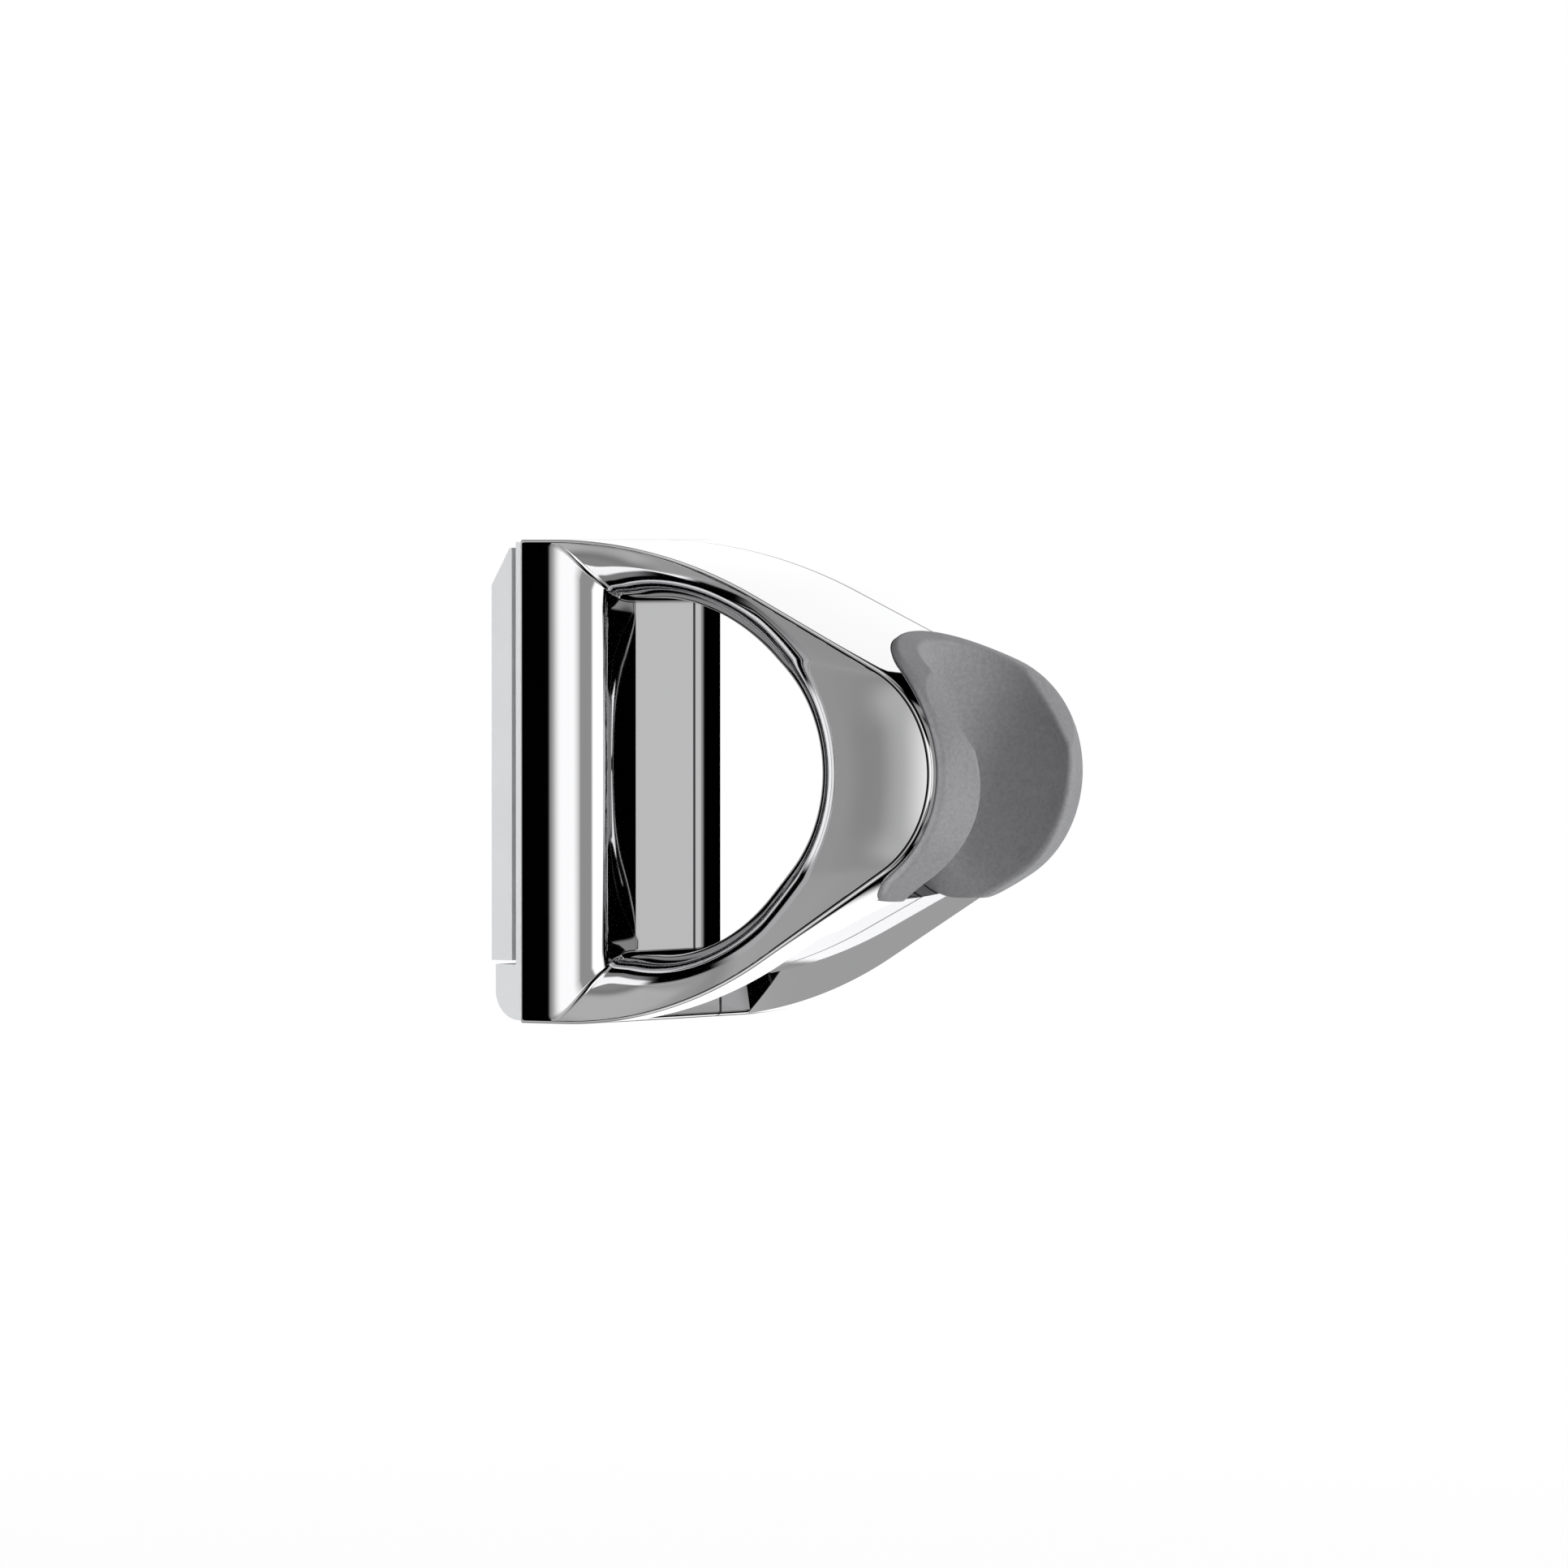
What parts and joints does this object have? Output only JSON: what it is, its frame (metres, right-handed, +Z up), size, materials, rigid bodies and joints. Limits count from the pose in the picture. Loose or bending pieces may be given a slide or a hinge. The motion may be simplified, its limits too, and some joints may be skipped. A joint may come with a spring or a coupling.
{
  "type": "hand shower holder",
  "caption": "Chrome D-shaped loop for a wall, with a grey C-shaped socket at its nose that takes the cone of a hand shower, hung on a screwed plastic plate.",
  "frame": {"origin": "middle of the wall face of the plate", "axes": "+X out of the wall, +Z up; the wall is the plane X = 0"},
  "size_m": [0.0673, 0.034, 0.0596],
  "materials": {
    "chrome": "polished plate on a zinc casting",
    "socket_grey": "fine matte moulding",
    "light_plastic": "smooth satin moulding",
    "steel": "plain zinc-plated"
  },
  "bodies": {
    "root": {"body_shell": "chrome", "socket_insert": "socket_grey", "back_foot": "light_plastic", "wall_bracket": "light_plastic", "foot_screws": "steel", "grub_screw": "steel"}
  },
  "joints": []
}
